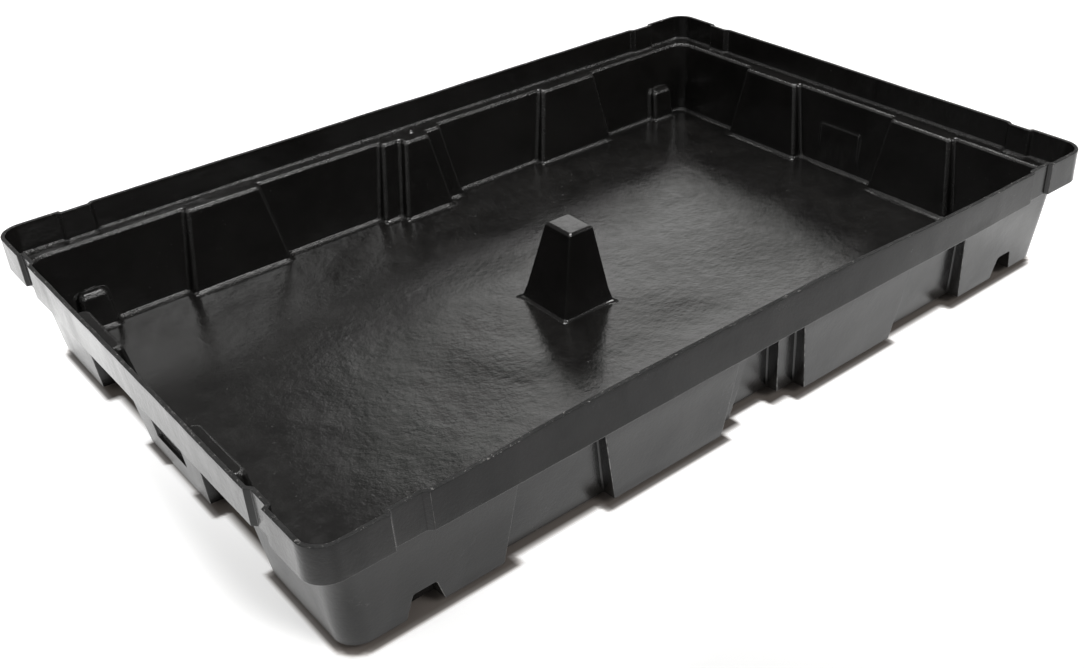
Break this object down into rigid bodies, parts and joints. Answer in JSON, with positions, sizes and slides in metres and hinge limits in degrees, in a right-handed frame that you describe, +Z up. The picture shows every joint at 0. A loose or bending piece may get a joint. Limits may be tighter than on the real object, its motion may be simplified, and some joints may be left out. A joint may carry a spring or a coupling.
{
  "type": "spill containment pallet",
  "caption": "Low rectangular plastic sump tray with a raised rim, a ledge for a grid, stepped sloping walls and one tapered support post in the middle of its floor.",
  "frame": {"origin": "on the standing surface under the middle of the tray", "axes": "+X along the long side, +Y along the short side from the front long wall to the back long wall, +Z up"},
  "size_m": [1.2, 0.8, 0.175],
  "materials": {
    "black_plastic": "black polyethylene sheet, satin outside and glossy with a fine leathery grain inside, with a rough trimmed rim"
  },
  "bodies": {
    "root": {"floor_pan": "black_plastic", "centre_post": "black_plastic", "front_wall": "black_plastic", "rim_front": "black_plastic", "ledge_front": "black_plastic", "back_wall": "black_plastic", "rim_back": "black_plastic", "ledge_back": "black_plastic", "left_wall": "black_plastic", "rim_left": "black_plastic", "ledge_left": "black_plastic", "right_wall": "black_plastic", "rim_right": "black_plastic", "ledge_right": "black_plastic", "wall_corner_front_right": "black_plastic", "rim_corner_front_right": "black_plastic", "ledge_corner_front_right": "black_plastic", "wall_corner_back_right": "black_plastic", "rim_corner_back_right": "black_plastic", "ledge_corner_back_right": "black_plastic", "wall_corner_back_left": "black_plastic", "rim_corner_back_left": "black_plastic", "ledge_corner_back_left": "black_plastic", "wall_corner_front_left": "black_plastic", "rim_corner_front_left": "black_plastic", "ledge_corner_front_left": "black_plastic", "grid_stop_front": "black_plastic", "grid_stop_back": "black_plastic"}
  },
  "joints": []
}
